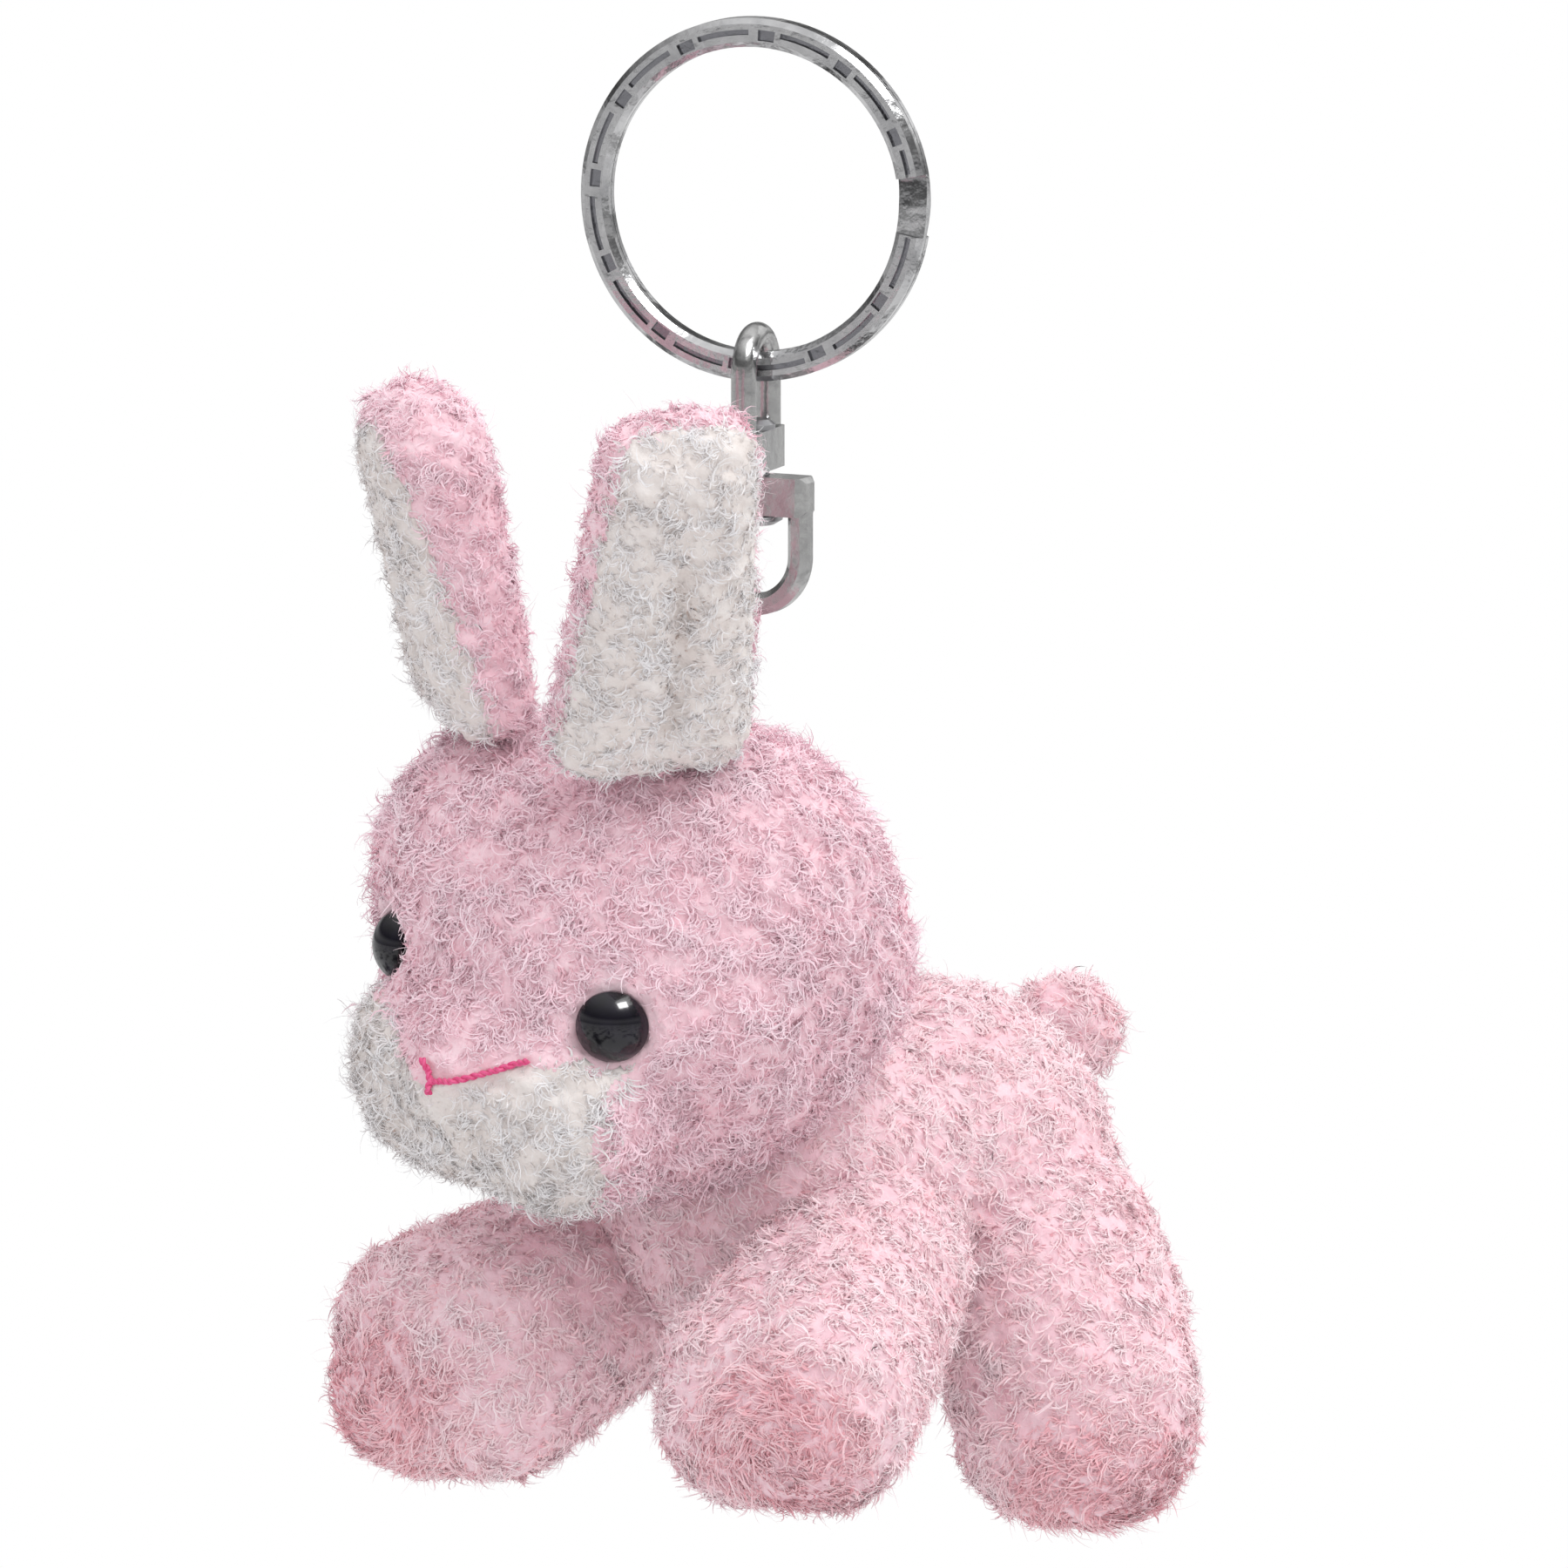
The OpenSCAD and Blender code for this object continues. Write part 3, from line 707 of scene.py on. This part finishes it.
def brushed(p):
    """The pile of the body is a little shorter than the head's."""
    return np.full(len(p), BODY_PILE)


def body_keep(p):
    """No pile grows on the body where the head and the legs cover it."""
    clear = head_distance(p) > -0.5
    for leg in LEGS.values():
        clear &= leg_distance(p, *leg) > -CLEAR
    return clear


ride_all(furred("body", body, body_keep, combed(31, (0, 0.4, -0.5)), size=brushed,
                layers=BRUSHED_LAYERS, pinks=warm_fibres))
dressed(body, pink_cloth, "rabbit",
        ["body_left_panel", "body_right_panel", "belly_panel", "body_stuffing"])


def sole_of(place, paw, axis):
    """How far into the end of a paw points are, 0 to 1, and the way round that end."""
    def at(p):
        q = unplaced(p, place) - np.array(paw)
        round_it = unit(np.cross(axis, q)) @ np.array(place.to_3x3()).T
        return np.clip((unit(q) @ axis - 0.45) / 0.35, 0, 1), round_it
    return at


for name, (side, top, paw, r, broad) in LEGS.items():
    place = IN_BODY @ sided(side)
    ends = [(tuple(np.array(paw) + (s * (broad + 1), 0, z)), r - 1)
            for s in (-1, 1) for z in (SOLE_DROP, RISES.get(name, RISE))]
    axis = unit(np.array(paw, float) - np.array(top))
    calf = tuple(0.55 * np.array(top) + 0.45 * np.array(paw))
    leg = skin(name + "_skin", [[(top, r), (calf, r + CALF_MORE)] + ends], place,
               seam=lambda q: near((q - np.array(paw)) @ axis, 0.62 * r, 0.7))
    sole = sole_of(place, paw, axis)

    def paw_comb(p, n):
        """Locks on a leg lie down it, and swirl round the end of its paw."""
        inside, round_it = sole(p)
        return combed(41, (0, -0.2, -0.5))(p, n) + 1.6 * inside[:, None] * round_it

    # the end of a paw is darker: painted shade where it faces down
    ride_all(furred(name, leg, lambda p: (head_distance(p) > -0.5) & (body_distance(p) > -CLEAR),
                    paw_comb, size=lambda p: BODY_PILE + SOLE_LONGER * sole(p)[0],
                    deep=lambda p: SOLE_SHADE * sole(p)[0], layers=BRUSHED_LAYERS, pinks=warm_fibres))
    dressed(leg, pink_cloth, "rabbit", [name, name.replace("_leg", "_stuffing")])

tail = skin("tail_skin", [[(TAIL_AT, TAIL_R)]], IN_BODY)
ride_all(furred("tail", tail, lambda p: body_distance(p) > -CLEAR, combed(51), layers=BRUSHED_LAYERS,
                pinks=warm_fibres))
dressed(tail, pink_cloth, "rabbit", ["tail"])

# ears (left, right)
EAR_WIDER = ({-1: 0.7, 1: 2.2}, {-1: 0.7, 1: 0.9})     # mm that the pile widens each side of an ear
EAR_TIP = ((0, 0.5), (0.7, 1.1))                       # mm that its tip is longer, and its radius larger
LINING_WIDER, LINING_HIGHER = (1.5, 0.9), (2, 0)       # mm that the white goes past the CAD's lining
LINING_FOOT, LINING_END = -3, 3.6                      # mm above the root, and above the top of the lining
FOLD_DEEP, FOLD_HALF, FOLD_SHADE = 1.5, 1.1, 1.5        # mm, mm, and shades of painted shade in the fold

for k, (side, word) in enumerate(((1, "left"), (-1, "right"))):
    length, place, wider = EAR_LEN[k], in_ear(side), EAR_WIDER[k]
    foot = [((s * (EAR_HALF[0] + wider[s]), 0, 0), EAR_R) for s in (-1, 1)]
    tip = [((s * (EAR_HALF[1] + wider[s]), 0, length + EAR_TIP[k][0]), EAR_R + EAR_TIP[k][1])
           for s in (-1, 1)]
    centre = (wider[1] - wider[-1]) / 2

    def fold(q):
        """How deep the fold down the middle of the lining is, from 0 to 1."""
        middle = centre + 0.8 * np.sin(q[:, 2] * 0.16)
        run = np.clip(q[:, 2] / 4, 0, 1) * np.clip((length - 4 - q[:, 2]) / 6, 0, 1)
        return (q[:, 1] < -1) * run * np.exp(-((q[:, 0] - middle) / FOLD_HALF) ** 2)

    def lined(q, ease=0.0):
        """True for points of the ear, in its own frame, that are on its white lining."""
        top = length + LINING_HIGHER[k]
        wide, narrow = LINING_HALF
        half = np.interp(q[:, 2], (LINING_FOOT, 0, top - 5, top, top + 2, top + LINING_END),
                         (wide - 1.5, wide, narrow + 0.8, narrow + 0.2, narrow - 1, narrow - 3.4))
        return ((q[:, 1] < -0.5 - ease) & (np.abs(q[:, 0] - 1.2 * centre) < half + LINING_WIDER[k] - ease)
                & (q[:, 2] > LINING_FOOT + ease) & (q[:, 2] < top + LINING_END - ease))

    def white_ear(p, r):
        return lined(unplaced(p, place) + r.normal(0, 0.2, (len(p), 3)))

    ear = skin(f"ear_{word}_skin", [foot + tip], place, dent=lambda q: FOLD_DEEP * fold(q))
    # the fold down the lining is darker: painted shade in its crease
    fur = furred(f"ear_{word}", ear, lambda p: head_distance(p) > -CLEAR, combed(61 + k, (0, 0, 0.3)),
                 white=white_ear, size=lambda p: np.full(len(p), EAR_PILE),
                 deep=lambda p: FOLD_SHADE * fold(unplaced(p, place)))
    lining = patch(f"ear_{word}_lining_skin", ear, lambda c: lined(unplaced(c, place), ease=0.3))
    dressed(ear, pink_cloth, replaced=[f"ear_back_{word}"])
    dressed(lining, white_cloth, replaced=[f"ear_lining_{word}"])
    for o in [ear, lining] + fur:
        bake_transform(o)


# ---------------------------------------------------------------- threads and tape
def swept(name, path, side, other, outline):
    """A closed tube along a path in mm; the outline gives its cross-section by side and other."""
    bm = bmesh.new()
    rings = [[bm.verts.new(c + s * x + o * y) for x, y in outline]
             for c, s, o in zip(path, side, other)]
    m = len(outline)
    for a, b in zip(rings, rings[1:]):
        for i in range(m):
            bm.faces.new((a[i], a[(i + 1) % m], b[(i + 1) % m], b[i])).smooth = True
    bm.faces.new(rings[0][::-1])
    bm.faces.new(rings[-1])
    bmesh.ops.recalc_face_normals(bm, faces=bm.faces)
    me = bpy.data.meshes.new(name)
    bm.to_mesh(me)
    bm.free()
    me.transform(Matrix.Scale(MM, 4))
    return object_of(me, name)


def tube(name, path, outline):
    """A closed tube along a path, that doesn't twist along it."""
    along = unit(np.gradient(path, axis=0))
    side = np.zeros_like(path)
    side[0] = unit(np.cross(along[0], np.array([0.3, 0.5, 0.8])))
    for i in range(1, len(path)):
        side[i] = unit(side[i - 1] - (side[i - 1] @ along[i]) * along[i])
    return swept(name, path, side, np.cross(along, side), outline)


def circle(r, count=10):
    a = np.linspace(0, 2 * math.pi, count, endpoint=False)
    return np.stack([r * np.cos(a), r * np.sin(a)], 1)


def plied(name, path, ply_r, turns, material):
    """Two plies of thread twisted round a path."""
    along = unit(np.gradient(path, axis=0))
    side = unit(np.cross(along, np.array([0.2, 0.1, 1.0])))
    other = np.cross(along, side)
    made = []
    for k in (0, 1):
        a = np.linspace(0, 2 * math.pi * turns, len(path))[:, None] + math.pi * k
        o = tube(f"{name}_ply_{k + 1}", path + 0.8 * ply_r * (side * np.cos(a) + other * np.sin(a)),
                 circle(ply_r))
        o.data.materials.append(material)
        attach(o, "rabbit")
        made.append(o)
    return made


def thread_material(name, low, high):
    m = Nodes(name)
    where = m.add("TexCoord").outputs["Object"]
    twist = m.add("TexNoise", {"Vector": where, "Scale": 2600.0, "Detail": 3.0})
    m.link(m.ramp(twist.outputs["Fac"], [(0.3, low), (0.7, high)]), "Base Color")
    bump = m.add("Bump", {"Height": twist.outputs["Fac"], "Strength": 0.5, "Distance": 0.0002})
    m.link(bump.outputs["Normal"], "Normal")
    m.set(Roughness=0.55, Sheen_Weight=0.4)
    return m.mat


mouth_thread = thread_material("mouth_thread", srgb(214, 40, 112), srgb(240, 92, 150))
threads = []
for name, line, turns in zip(("mouth_left", "mouth_right", "mouth_nick"), MOUTH_LINES, (7, 2, 1)):
    path = laid_on_face(line, 16 * turns + 20, STITCH_LIFT)
    threads += plied(name, path, STITCH_R, turns, mouth_thread)
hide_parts("mouth_stitch")


def tape_material():
    m = Nodes("loop_tape")
    where = m.add("TexCoord").outputs["Object"]
    warp = m.add("TexWave", {"Vector": where, "Scale": 900.0, "Distortion": 0.6})
    weft = m.add("TexWave", {"Vector": where, "Scale": 900.0, "Distortion": 0.6}, bands_direction="Z")
    weave = m.math("MULTIPLY", warp.outputs["Fac"], weft.outputs["Fac"])
    m.link(m.ramp(weave, [(0.1, srgb(228, 176, 190)), (0.7, srgb(248, 218, 226))]), "Base Color")
    bump = m.add("Bump", {"Height": weave, "Strength": 0.6, "Distance": 0.0002})
    m.link(bump.outputs["Normal"], "Normal")
    m.set(Roughness=0.7, Sheen_Weight=0.3)
    return m.mat


def hanging_tape():
    """The tape goes up from the head, round the link's wire and down again, its legs pinched."""
    wide, thick, round_r, pinched, foot_z = 1.6, 0.4, 1.15, 0.36, -12.5
    a = np.radians(np.linspace(-30, 210, 25))
    bend = np.stack([0 * a, round_r * np.cos(a), round_r * np.sin(a)], 1)
    low = np.linspace(1, 0, 14)[:, None]
    leg = bend[0] + (np.array([0, pinched, foot_z]) - bend[0]) * low
    leg[:, 1] = pinched + (bend[0][1] - pinched) * (1 - low[:, 0]) ** 3
    path = np.concatenate([leg[:-1], bend, (leg[:-1] * (1, -1, 1))[::-1]])
    path[:, 0] -= 0.8 - 0.08 * np.minimum(path[:, 2], 0)    # it sits to one side, and leans that way
    path = placed(path, move((0, 0, WIRE_Z)) @ turn(z=LINK_TURNED))
    wire = np.array([math.cos(math.radians(LINK_TURNED)), math.sin(math.radians(LINK_TURNED)), 0])
    across = np.cross(unit(np.gradient(path, axis=0)), wire)
    k = circle(1.0, 16)
    k = np.sign(k) * np.abs(k) ** 0.5 * (wide / 2, thick / 2)      # a rounded oblong
    o = swept("loop_tape", path, [wire] * len(path), across, k)
    o.data.materials.append(tape_material())
    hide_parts("hanging_loop")
    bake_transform(o)


hanging_tape()


# ---------------------------------------------------------------- hard parts
def metal(name, low, high, rough, groove_shaded=False):
    m = Nodes(name)
    where = m.add("TexCoord").outputs["Object"]
    cloud = m.add("TexNoise", {"Vector": where, "Scale": 420.0, "Detail": 5.0})
    colour = m.ramp(cloud.outputs["Fac"], [(0.3, low), (0.7, high)])
    # the ring's grooves get painted shade
    if groove_shaded:
        colour = ring_groove_shade(m, where, colour)
    m.link(colour, "Base Color")
    fine = m.add("TexNoise", {"Vector": where, "Scale": 650.0, "Detail": 3.0})
    bump = m.add("Bump", {"Height": fine.outputs["Fac"], "Strength": 0.25, "Distance": 0.0004})
    m.link(bump.outputs["Normal"], "Normal")
    worn = m.add("MapRange", {"Value": cloud.outputs["Fac"], "To Min": rough * 0.6, "To Max": rough * 1.7})
    m.link(worn.outputs["Result"], "Roughness")
    m.set(Metallic=1.0)
    return m.mat


GROOVE_HALF, GROOVE_SINK, STEP_HALF = 0.8, 0.25, 11.5     # mm, mm, and degrees round the ring


def ring_groove_shade(m, where, colour):
    """Paints shade on the floors of the ring's pressed grooves, which lie a little below its two faces."""
    a = math.radians(RING_TURNED)
    axis = (math.sin(a), -math.cos(a), 0)
    along = m.add("VectorMath", {0: where, 1: axis}, operation="DOT_PRODUCT").outputs["Value"]
    depth = m.math("ABSOLUTE", along)
    radius = m.add("VectorMath", {0: where}, operation="LENGTH").outputs["Value"]
    out = m.math("SUBTRACT", radius, RING_MID * MM)
    inside = m.math("LESS_THAN", m.math("ABSOLUTE", out), GROOVE_HALF * MM)
    low = m.math("LESS_THAN", depth, (RING_HALF - GROOVE_SINK) * MM)
    way = m.add("VectorMath", {0: where}, operation="NORMALIZE").outputs["Vector"]
    at_step = m.add("VectorMath", {0: way, 1: (math.cos(a), math.sin(a), 0)}, operation="DOT_PRODUCT")
    off_step = m.math("LESS_THAN", at_step.outputs["Value"], math.cos(math.radians(STEP_HALF)))
    mix = m.add("Mix", {"Factor": m.math("MULTIPLY", m.math("MULTIPLY", inside, low), off_step)},
                data_type="RGBA")
    m.tree.links.new(colour, mix.inputs["A"])
    # the painted shade colour of the groove floors
    mix.inputs["B"].default_value = srgb(138, 138, 143)
    return mix.outputs["Result"]


ring_plate = metal("ring_plate", srgb(176, 176, 178), srgb(206, 206, 207), 0.14, groove_shaded=True)
link_plate = metal("link_plate", srgb(168, 168, 168), srgb(198, 198, 197), 0.2)
rivet_plate = metal("rivet_plate", srgb(160, 160, 163), srgb(190, 190, 192), 0.3)


def eye_material():
    m = Nodes("eye_gloss")
    where = m.add("TexCoord").outputs["Object"]
    cloud = m.add("TexNoise", {"Vector": where, "Scale": 500.0, "Detail": 3.0})
    m.link(m.ramp(cloud.outputs["Fac"], [(0.35, srgb(10, 9, 14)), (0.7, srgb(26, 23, 36))]), "Base Color")
    m.set(Roughness=0.2, Coat_Weight=0.6, Coat_Roughness=0.03)
    m.shader.inputs["Specular IOR Level"].default_value = 0.25
    return m.mat


eye_black = eye_material()
closing = thread_material("closing_thread", srgb(226, 150, 172), srgb(244, 196, 210))


def paint(names, material):
    for name in names:
        o = nodes[name]
        if not o.material_slots:
            o.data.materials.append(material)
        for s in o.material_slots:
            s.material = material


paint(["split_ring"], ring_plate)
paint(["upper_link", "lower_link"], link_plate)
paint(["swivel_rivet"], rivet_plate)
paint(["eye_left", "eye_right"], eye_black)
paint(["closing_stitch"], closing)

# ---------------------------------------------------------------- studio
VIEW_AZ, VIEW_EL = math.radians(44), math.radians(8)
PICTURE, PX_PER_MM = 1800, 14.0            # pixels
RIGHT = Vector((math.cos(VIEW_AZ), math.sin(VIEW_AZ), 0))
BACK = Vector((math.sin(VIEW_AZ) * math.cos(VIEW_EL), -math.cos(VIEW_AZ) * math.cos(VIEW_EL),
               math.sin(VIEW_EL)))
UP = BACK.cross(RIGHT)
MIDDLE = RIGHT * 0.0023 - UP * 0.048       # of the picture


def camera():
    data = bpy.data.cameras.new("camera")
    data.lens, data.sensor_width = 800, 36
    distance = PICTURE / PX_PER_MM * MM / 2 / (data.sensor_width / 2 / data.lens)
    cam = bpy.data.objects.new("camera", data)
    bpy.context.scene.collection.objects.link(cam)
    cam.location = MIDDLE + BACK * distance
    cam.rotation_mode = "QUATERNION"
    cam.rotation_quaternion = (-BACK).to_track_quat("-Z", "Y")
    data.clip_start, data.clip_end = 0.1, 50
    bpy.context.scene.camera = cam


def lamp(name, direction, distance, size, power, colour=(1, 1, 1)):
    data = bpy.data.lights.new(name, "AREA")
    data.shape, data.size, data.size_y = "RECTANGLE", *size
    data.energy, data.color = power, colour
    o = bpy.data.objects.new(name, data)
    bpy.context.scene.collection.objects.link(o)
    d = (RIGHT * direction[0] + UP * direction[1] + BACK * direction[2]).normalized()
    o.location = MIDDLE + d * distance
    o.rotation_mode = "QUATERNION"
    o.rotation_quaternion = (-d).to_track_quat("-Z", "Y")
    return o


def sky():
    """Plain white to the camera; to the light, dimmer from the left, with dark bands for gloss."""
    world = bpy.data.worlds.new("studio")
    bpy.context.scene.world = world
    world.use_nodes = True
    tree = world.node_tree
    new, link = tree.nodes.new, tree.links.new
    where = new("ShaderNodeTexCoord").outputs["Generated"]

    def along(direction):
        dot = new("ShaderNodeVectorMath")
        dot.operation = "DOT_PRODUCT"
        link(where, dot.inputs[0])
        dot.inputs[1].default_value = direction
        return dot.outputs["Value"]

    def ramp(value, stops):
        to = new("ShaderNodeMapRange")
        to.inputs["From Min"].default_value = -1
        link(value, to.inputs["Value"])
        r = new("ShaderNodeValToRGB")
        link(to.outputs["Result"], r.inputs["Fac"])
        e = r.color_ramp.elements
        while len(e) < len(stops):
            e.new(0.5)
        for x, (at, c) in zip(e, stops):
            x.position, x.color = at, (*c, 1)
        return r.outputs["Color"]

    def mixed(factor, a, b):
        m = new("ShaderNodeMix")
        m.data_type = "RGBA"
        link(factor, m.inputs["Factor"])
        link(a, m.inputs["A"])
        link(b, m.inputs["B"])
        return m.outputs["Result"]

    path = new("ShaderNodeLightPath")
    bright = (RIGHT * 0.5 + UP * 0.8 - BACK * 0.15).normalized()
    soft = ramp(along(bright), [(0.15, (0.74, 0.70, 0.72)), (0.55, (0.96, 0.96, 0.98)), (0.95, (1, 1, 1))])
    greys = ((0.3, 0.5), (0.42, 0.02), (0.5, 0.18), (0.57, 0.6), (0.64, 0.05), (0.8, 0.4), (0.95, 1))
    bands = ramp(along((0, 0, 1)), [(at, (grey, grey, grey)) for at, grey in greys])
    white = new("ShaderNodeRGB").outputs[0]
    white.default_value = (1, 1, 1, 1)
    colour = mixed(path.outputs["Is Glossy Ray"], soft, bands)
    colour = mixed(path.outputs["Is Camera Ray"], colour, white)
    link(colour, tree.nodes["Background"].inputs["Color"])
    tree.nodes["Background"].inputs["Strength"].default_value = 1.0


def floor():
    bm = bmesh.new()
    bmesh.ops.create_circle(bm, cap_ends=True, radius=12, segments=96)
    me = bpy.data.meshes.new("floor")
    bm.to_mesh(me)
    bm.free()
    o = object_of(me, "floor")
    o.location.z = cad_box[0][2] - 0.3
    m = Nodes("floor_white").set(Base_Color=(0.75, 0.75, 0.75, 1), Roughness=0.9)
    # the floor glows: plain white to the camera, and dark and pale patches to glossy rays, a glowing room
    # that the metal and the eyes reflect
    glow = m.add("Emission", {"Color": (1, 1, 1, 1), "Strength": 1.0})
    room = m.add("TexNoise", {"Vector": m.add("TexCoord").outputs["Object"], "Scale": 3.5, "Detail": 2.0})
    dark, pale = (0.04, 0.04, 0.04, 1), (0.95, 0.95, 0.95, 1)
    glossy_glow = m.add("Emission", {"Color": m.ramp(room.outputs["Fac"], [(0.38, dark), (0.5, pale)])})
    path = m.add("LightPath")
    surface = m.shader.outputs[0]
    for ray, shader in (("Is Glossy Ray", glossy_glow), ("Is Camera Ray", glow)):
        mix = m.add("MixShader", {"Fac": path.outputs[ray]})
        m.tree.links.new(surface, mix.inputs[1])
        m.tree.links.new(shader.outputs[0], mix.inputs[2])
        surface = mix.outputs[0]
    m.tree.links.new(surface, m.tree.nodes["Material Output"].inputs["Surface"])
    me.materials.append(m.mat)


camera()
lamp("window", (0.40, 0.79, 0.48), 1.0, (0.75, 0.42), 3.2)
lamp("glint", (0.36, 0.70, 0.62), 0.9, (0.42, 0.26), 8.0).visible_diffuse = False
lamp("rim", (0.7, 0.6, -0.6), 1.1, (0.6, 0.6), 0.9)
lamp("fill", (0.1, -0.3, 0.95), 1.1, (0.7, 0.7), 0.8, (1, 0.9, 0.9)).visible_glossy = False
sky()
floor()
bpy.context.scene.view_settings.view_transform = "Standard"
